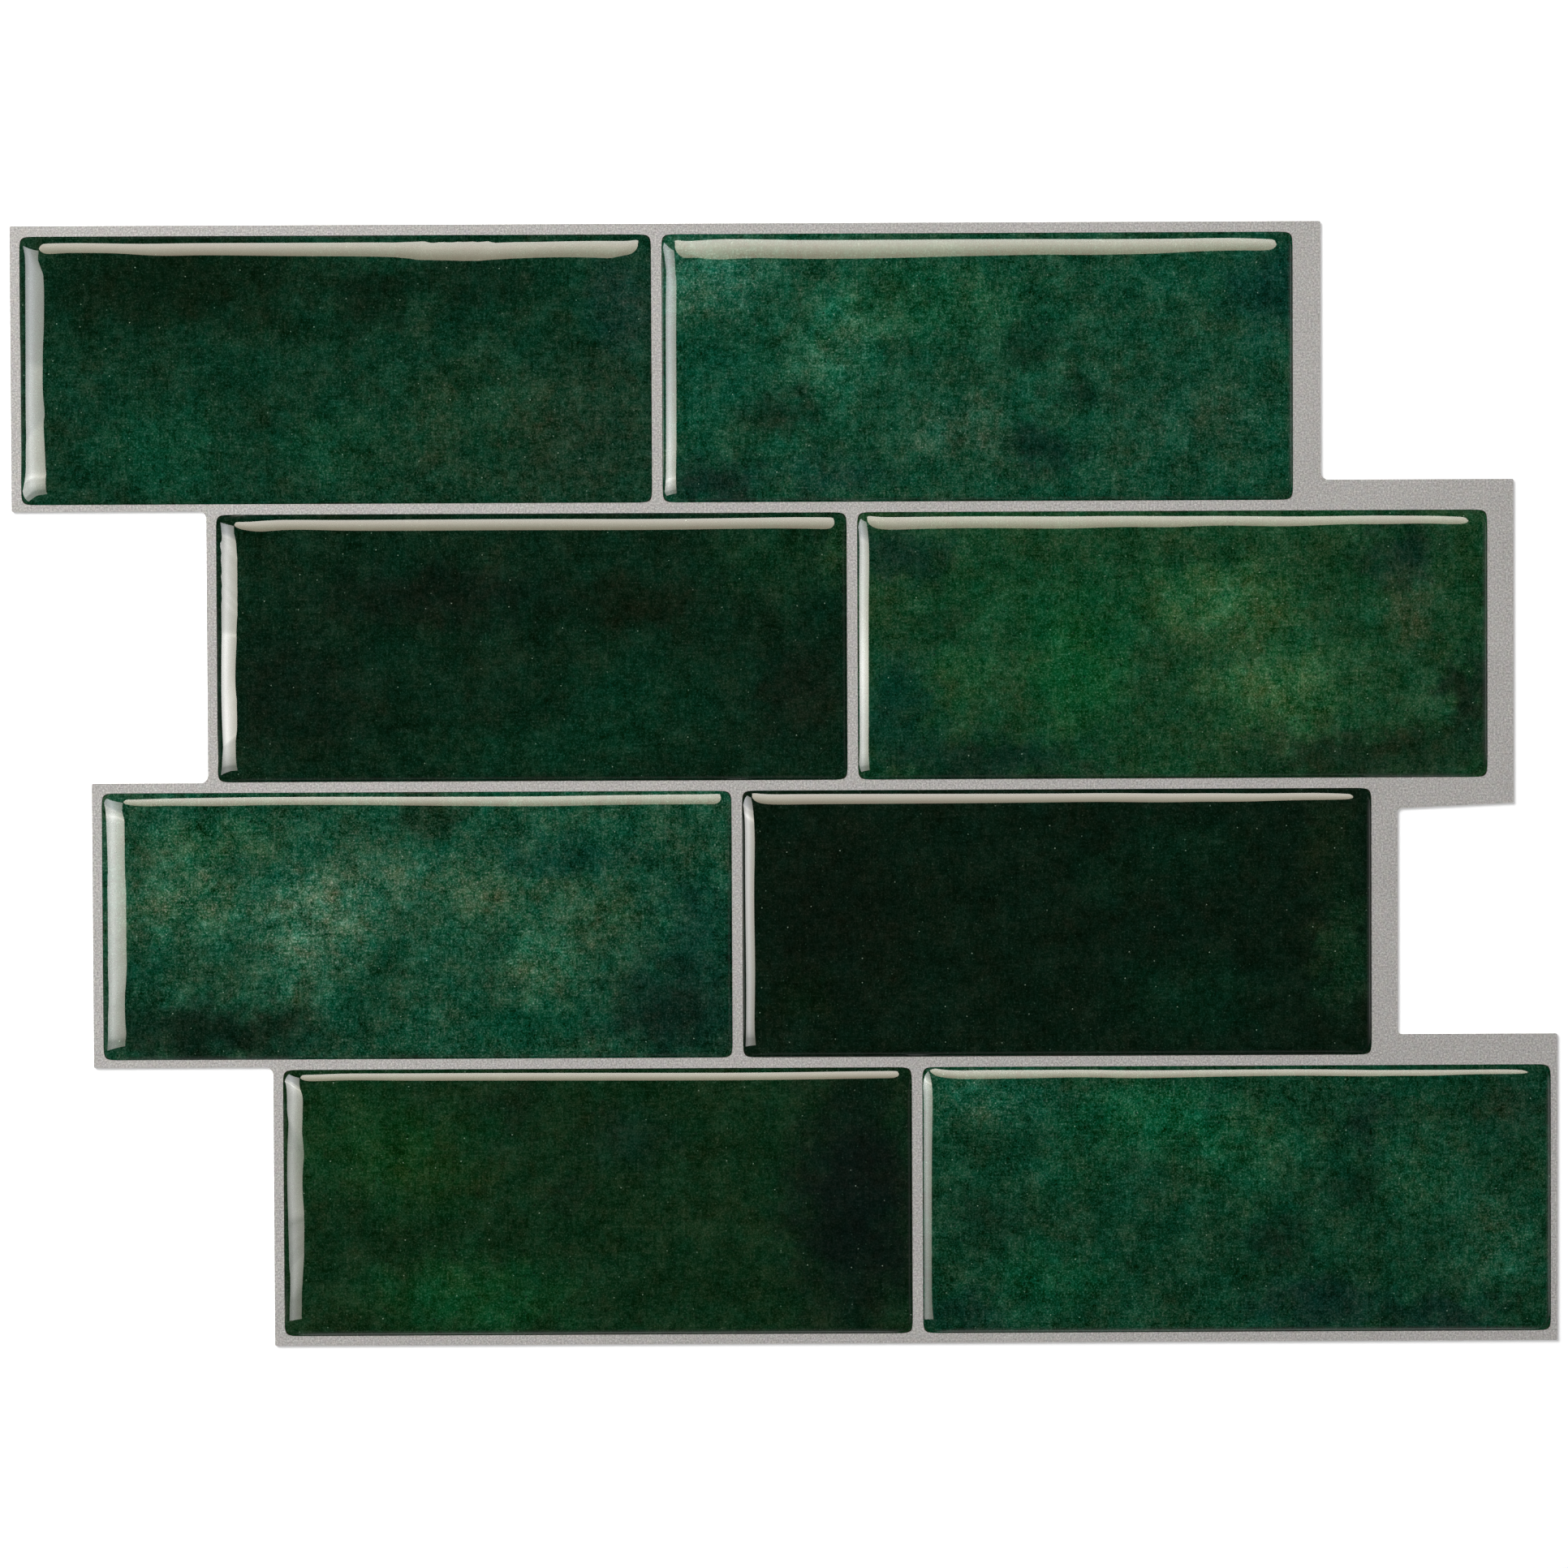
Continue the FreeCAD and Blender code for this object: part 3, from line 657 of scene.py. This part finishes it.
def profiles(outline, half, middle, mirrored):
    """The profile at each point of the outline: two distances inward and the slopes there."""
    edges = [contour(half, inset, bend_at(inset)) for inset in EDGE_INSETS]
    right, lower = plain_profile(mirrored["top"]), plain_profile(mirrored["side"])
    found = []
    for point, *seats in zip(outline, *edges):
        # the distances from the left, right, lower and upper side, each side counting where it is near
        near = [half.x + point.x, half.x - point.x, half.y + point.y, half.y - point.y]
        weights = [math.exp(-distance / CORNER_BLEND) for distance in near]
        x, y = point.x + middle.x, point.y + middle.y
        down = [(half.y - seat.y, -x, seat.y + middle.y) for seat in seats]
        across = [(half.x + seat.x, y, seat.x + middle.x) for seat in seats]
        side = side_profile(SIDE_PANEL, mirrored["side"], down, -CAMERA_AT[0], CAMERA_AT[1])
        top = side_profile(TOP_PANEL, mirrored["top"], across, CAMERA_AT[1], CAMERA_AT[0])
        sides = (side, right, lower, top)
        total = sum(weights)
        found.append([sum(w * s[k] for w, s in zip(weights, sides)) / total for k in range(4)])
    count = len(found)
    for _ in range(SMOOTHING):
        found = [
            [(found[i - 1][k] + 2.0 * found[i][k] + found[(i + 1) % count][k]) / 4.0 for k in range(4)]
            for i in range(count)
        ]
    return found


def log_mean(a, b):
    """The mean of a value that falls off evenly from a to b."""
    return a if abs(a - b) < 1e-6 else (a - b) / math.log(a / b)


class Rise:
    """The gel's height over its distance inward, from a profile. Its slope falls off evenly in each part."""

    def __init__(self, profile, full):
        self.outer, self.inner = profile[:2]
        self.outer_slope, self.inner_slope = math.exp(profile[2]), math.exp(profile[3])
        self.full = full
        while self.least_height() > full:
            self.outer *= SHRINK
            self.inner *= SHRINK
        length = (self.inner - self.outer) / math.log(self.outer_slope / self.inner_slope)
        band = length * (self.outer_slope - self.inner_slope)
        self.rim_slope = self.outer_slope * math.exp(self.outer / length)
        rim = self.outer * log_mean(self.rim_slope, self.outer_slope)
        self.tail = (full - rim - band) / self.inner_slope
        held = min(max(self.tail, TAIL_LENGTHS[0]), TAIL_LENGTHS[1])
        if held != self.tail:
            self.tail = held
            self.rim_slope = self.steeper((full - band - held * self.inner_slope) / self.outer)

    def least_height(self):
        """The height that the two edges need, with a rim hardly steeper than the outer edge."""
        band = (self.inner - self.outer) * log_mean(self.outer_slope, self.inner_slope)
        rim = LEAST_RIM * self.outer_slope * self.outer
        return band + rim + self.inner_slope * TAIL_LENGTHS[0]

    def steeper(self, mean):
        """The rim's slope from which the mean slope up to the outer edge is as given."""
        low, high = self.outer_slope, STEEPEST
        for _ in range(HALVINGS):
            trial = (low + high) / 2.0
            if log_mean(trial, self.outer_slope) < mean:
                low = trial
            else:
                high = trial
        return low

    def raw(self, inset):
        """The height at an inset as it follows from the slopes, before it is fitted to the full height."""
        height = 0.0
        parts = (
            (0.0, self.outer, self.rim_slope, self.outer_slope),
            (self.outer, self.inner, self.outer_slope, self.inner_slope),
        )
        for start, end, first, last in parts:
            run = min(inset, end) - start
            if run <= 0.0:
                return height
            slope = first * (last / first) ** (run / (end - start))
            height += run * log_mean(first, slope)
        beyond = max(inset - self.inner, 0.0)
        return height + self.inner_slope * self.tail * (1.0 - math.exp(-beyond / self.tail))

    def height(self, inset):
        """The height at an inset, which is the full height at the last ring."""
        return self.full * self.raw(inset) / self.raw(LAST_RING)


def gel_mesh(name, low, high, mirrored):
    """A poured gel tile on its printed border, inside the box from low to high, in millimetres."""
    half = Vector(((high.x - low.x) / 2, (high.y - low.y) / 2))
    middle = Vector(((high.x + low.x) / 2, (high.y + low.y) / 2))
    full = high.z - low.z
    outline = contour(half, 0.0, PRINT_BEND)
    count = len(outline)
    rises = [Rise(profile, full) for profile in profiles(outline, half, middle, mirrored)]

    def placed(point, height):
        return Vector((point.x + middle.x, point.y + middle.y, low.z + height)) * MM

    vertices = [placed(point, height) for height in (0.0, BORDER_LIFT) for point in outline]
    for ring in range(RINGS + 1):
        inset = BORDER + (LAST_RING - BORDER) * (ring / RINGS) ** RING_CROWDING
        for point, rise in zip(contour(half, inset, bend_at(inset)), rises):
            vertices.append(placed(point, rise.height(inset)))
    faces = []
    last = (RINGS + 2) * count
    for start in range(0, last, count):
        for i in range(count):
            j = (i + 1) % count
            faces.append((start + i, start + j, start + count + j, start + count + i))
    faces.append(tuple(last + i for i in range(count)))
    faces.append(tuple(reversed(range(count))))

    mesh = bpy.data.meshes.new(name)
    mesh.from_pydata(vertices, [], faces)
    mesh.update()
    layer = mesh.uv_layers.new(name="rim")
    for loop in mesh.loops:
        point = outline[loop.vertex_index % count]
        there = vertices[loop.vertex_index] / MM
        inward = (Vector((there.x - middle.x, there.y - middle.y)) - point).length
        layer.data[loop.index].uv = (point.x / half.x, inward)
    for face in mesh.polygons:
        face.use_smooth = face.index >= count and face.normal.z > 0.0
    for edge in mesh.edges:
        a, b = (vertex // count for vertex in edge.vertices)
        edge.use_edge_sharp = a == b and a < SHARP_RINGS
    return mesh


def add_object(name, mesh, material):
    """A new object in the scene with one material."""
    thing = bpy.data.objects.new(name, mesh)
    bpy.context.scene.collection.objects.link(thing)
    mesh.materials.append(material)
    return thing


def build_tiles():
    """Each gel tile as a finer mesh than the CAD's, with a print of its own."""
    number = 0
    for row in range(1, ROWS + 1):
        for column in COLUMNS:
            number += 1
            key = f"row_{row}_{column}"
            node = f"gel_tile_{key}"
            low, high = (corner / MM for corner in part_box(node))
            mesh = gel_mesh(f"{node}_domed", low, high, MIRRORED[key])
            middle = (low + high) / 2
            tile = add_object(f"{node}_domed", mesh, printed_gel(key, number, middle))
            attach(tile, "root")
            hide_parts(node)


def dress_sheets():
    """The film and the liner keep their CAD meshes and get a material."""
    for node, material in (("backing_film", grey_film()), ("release_liner", liner_paper())):
        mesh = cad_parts[node].data
        mesh.materials.clear()
        mesh.materials.append(material)


# The floor reaches this far each way and lies this much under the part. Its paint and its glow, which is
# only seen and lights nothing, make it white.
FLOOR_REACH = 6000.0
FLOOR_DROP = 0.05
FLOOR_PAINT = (0.88, 0.88, 0.88, 1.0)
FLOOR_GLOW = 0.45
# Heights of a direction, from 0 at the horizon to 1 straight up: the wall fades out between the first
# two, and the haze between the next two, from this strength
WALL_FADE = (0.10, 0.02)
HAZE_FADE = (0.45, 0.10)
HAZE = 0.3
CEILING = 0.012


def build_floor():
    """A level white floor."""
    low, high = -FLOOR_REACH * MM, FLOOR_REACH * MM
    corners = [(x, y, -FLOOR_DROP * MM) for x, y in ((low, low), (high, low), (high, high), (low, high))]
    mesh = bpy.data.meshes.new("floor")
    mesh.from_pydata(corners, [], [(0, 1, 2, 3)])
    material = new_material("white_floor")
    n = Nodes(material.node_tree)
    seen = white_when_seen(n)
    paint = n.add("ShaderNodeBsdfDiffuse")
    paint.inputs["Color"].default_value = FLOOR_PAINT
    glow = n.add("ShaderNodeEmission")
    n.feed(glow.inputs["Strength"], n.math("MULTIPLY", seen, FLOOR_GLOW))
    both = n.add("ShaderNodeAddShader")
    n.tree.links.new(paint.outputs[0], both.inputs[0])
    n.tree.links.new(glow.outputs[0], both.inputs[1])
    output = n.add("ShaderNodeOutputMaterial")
    n.tree.links.new(both.outputs[0], output.inputs["Surface"])
    add_object("floor", mesh, material)


def white_when_seen(n):
    """1 for rays from the camera, and for those that a gloss or glass sends on, and otherwise 0."""
    path = n.add("ShaderNodeLightPath")
    seen = n.math("ADD", path.outputs["Is Camera Ray"], path.outputs["Is Glossy Ray"])
    return n.math("ADD", seen, path.outputs["Is Transmission Ray"], clamp=True)


def build_world():
    """A dark studio with a white wall round the horizon. Above it a faint haze shows in gloss from the
    side. Both are only seen: as a light, the world is as dim as its ceiling."""
    world = bpy.data.worlds.new("studio")
    bpy.context.scene.world = world
    world.use_nodes = True
    tree = world.node_tree
    tree.nodes.clear()
    n = Nodes(tree)
    height = n.add("ShaderNodeSeparateXYZ")
    n.feed(height.inputs[0], n.add("ShaderNodeTexCoord").outputs["Generated"])
    wall = n.ramp(height.outputs["Z"], *WALL_FADE)
    haze = n.ramp(height.outputs["Z"], *HAZE_FADE, 0.0, HAZE)
    strength = n.math("MULTIPLY", n.math("MAXIMUM", wall, haze), white_when_seen(n))
    strength = n.math("ADD", strength, CEILING)
    background = n.add("ShaderNodeBackground")
    background.inputs["Color"].default_value = (1.0, 1.0, 1.0, 1.0)
    n.feed(background.inputs["Strength"], strength)
    output = n.add("ShaderNodeOutputWorld")
    n.tree.links.new(background.outputs[0], output.inputs["Surface"])


PANEL_CORNER_STEPS = 14
# What the panels send out, from the near line (0) to the far line (1) as red, green and blue, in units
# where a lit white surface shows 1. For the side panel it is multiplied by SIDE_LIGHT.
TOP_GLOW = [
    (0.0, (5.1, 4.4, 3.4)), (0.06, (5.9, 5.1, 3.9)), (0.2, (8.6, 7.9, 6.4)), (0.42, (11.9, 10.8, 9.2)),
    (0.74, (13.1, 12.3, 11.0)), (1.0, (13.2, 12.5, 11.3)),
]
SIDE_GLOW = [
    (0.0, (0.61, 0.58, 0.50)), (0.07, (0.71, 0.68, 0.60)), (0.25, (0.86, 0.84, 0.77)),
    (0.42, (1.04, 1.02, 0.98)), (0.55, (1.10, 1.09, 1.05)), (0.72, (0.93, 0.92, 0.89)),
    (1.0, (0.67, 0.66, 0.64)),
]
# How bright the side panel is, by the place along it, from its lower end up. It falls off downwards, has
# two brighter places, and is dimmer and cooler further up.
SIDE_LIGHT = [
    (-200, 5.2), (-185, 6.2), (-171, 7.3), (-150, 8.8), (-124, 10.0), (-93, 10.8), (-61, 12.6), (-31, 14.2),
    (-8, 14.2), (6, 15.6), (18, 19.4), (25, 20.6), (32, 18.6), (44, 15.6), (60, 14.4), (80, 13.6),
    (92, (14.6, 14.6, 14.7)), (100, (14.4, 14.5, 14.7)), (112, (12.4, 12.5, 12.9)), (130, (10.6, 10.8, 11.3)),
    (160, (9.4, 9.6, 10.2)), (300, (8.4, 8.6, 9.2)), (450, (7.2, 7.4, 7.9)),
]


# The key light, beyond the upper left
KEY_AT = (-1000, 1030, 1480)
KEY_SIZE = (1200, 1200)
KEY_POWER = 49.5


def ramp_of(n, place, stations):
    """Values or colours read off stations along a place."""
    start, end = stations[0][0], stations[-1][0]
    colours = [value if isinstance(value, tuple) else (value, value, value) for _, value in stations]
    full = max(max(colour) for colour in colours)
    node = n.add("ShaderNodeValToRGB")
    n.feed(node.inputs[0], n.ramp(place, start, end, smooth=False))
    elements = node.color_ramp.elements
    while len(elements) < len(stations):
        elements.new(0.5)
    for element, (where, _), colour in zip(elements, stations, colours):
        element.position = (where - start) / (end - start)
        element.color = (*(part / full for part in colour), 1.0)
    return n.vector("SCALE", node.outputs["Color"], factor=full)


def panel_mesh(name, panel, beyond_top):
    """A leaning rounded rectangle beyond the upper side, or else beyond the left side."""
    near, far = Vector(panel["near"]), Vector(panel["far"])
    start, end = panel["ends"]
    depth, radius = (far - near).length, panel["corner"]
    points = []
    for k, (along, away) in enumerate(((end, 0), (end, depth), (start, depth), (start, 0))):
        along += radius if k > 1 else -radius
        away += radius if k in (0, 3) else -radius
        centre = Vector((along, away))
        for i in range(PANEL_CORNER_STEPS + 1):
            angle = math.pi / 2 * (k - 1 + i / PANEL_CORNER_STEPS)
            points.append(centre + radius * Vector((math.cos(angle), math.sin(angle))))
    vertices = []
    for along, away in points:
        out, up = near.lerp(far, away / depth)
        vertices.append(Vector((along, out, up) if beyond_top else (-out, along, up)) * MM)
    mesh = bpy.data.meshes.new(name)
    mesh.from_pydata(vertices, [], [tuple(range(len(vertices)))])
    return mesh


def glowing(name, panel, beyond_top):
    """The material of a panel: its light changes from the near line to the far line, and along it."""
    material = new_material(f"{name}_light")
    n = Nodes(material.node_tree)
    parts = n.add("ShaderNodeSeparateXYZ")
    n.feed(parts.inputs[0], in_millimetres(n))
    out = parts.outputs["Y"] if beyond_top else n.math("MULTIPLY", parts.outputs["X"], -1.0)
    share = n.ramp(out, panel["near"][0], panel["far"][0], smooth=False)
    if beyond_top:
        colour = ramp_of(n, share, TOP_GLOW)
    else:
        colour = ramp_of(n, share, SIDE_GLOW)
        colour = n.vector("MULTIPLY", colour, ramp_of(n, parts.outputs["Y"], SIDE_LIGHT))
    glow = n.add("ShaderNodeEmission")
    n.feed(glow.inputs["Color"], colour)
    glow.inputs["Strength"].default_value = 1.0
    output = n.add("ShaderNodeOutputMaterial")
    n.tree.links.new(glow.outputs[0], output.inputs["Surface"])
    return material


def area_lamp(name, at, aim, size, power):
    """A rectangular lamp at a place, facing another."""
    data = bpy.data.lights.new(name, "AREA")
    data.shape = "RECTANGLE"
    data.size, data.size_y = size[0] * MM, size[1] * MM
    data.energy = power
    lamp = bpy.data.objects.new(name, data)
    bpy.context.scene.collection.objects.link(lamp)
    towards = (Vector(at) - Vector(aim)).to_track_quat("Z", "Y").to_matrix().to_4x4()
    lamp.matrix_world = Matrix.Translation(Vector(at) * MM) @ towards
    return lamp


def build_lamps():
    """Two panels that show only in glossy edges, and a soft key that lights the print."""
    for name, panel, beyond_top in (("top_panel", TOP_PANEL, True), ("side_panel", SIDE_PANEL, False)):
        thing = add_object(name, panel_mesh(name, panel, beyond_top), glowing(name, panel, beyond_top))
        thing.visible_camera = False
        thing.visible_diffuse = False
        thing.visible_transmission = False
        thing.visible_shadow = False
    key = area_lamp("key", KEY_AT, (0, 0, 0), KEY_SIZE, KEY_POWER)
    key.visible_glossy = False


def build_camera():
    """The camera of the photo."""
    data = bpy.data.cameras.new("camera")
    data.lens = CAMERA_LENS
    data.sensor_width = CAMERA_SENSOR
    data.sensor_fit = "HORIZONTAL"
    data.clip_start, data.clip_end = CAMERA_CLIP
    camera = bpy.data.objects.new("camera", data)
    bpy.context.scene.collection.objects.link(camera)
    at, aim = Vector(CAMERA_AT), Vector(CAMERA_AIM)
    back = (at - aim).normalized()
    right = Vector((0.0, 1.0, 0.0)).cross(back).normalized()
    up = back.cross(right)
    axes = Matrix((right, up, back)).transposed().to_4x4()
    roll = Matrix.Rotation(math.radians(CAMERA_ROLL_DEG), 4, "Z")
    camera.matrix_world = Matrix.Translation(at * MM) @ axes @ roll
    bpy.context.scene.camera = camera


build_camera()
build_world()
build_floor()
build_lamps()
dress_sheets()
build_tiles()
bpy.context.scene.view_settings.view_transform = "Standard"
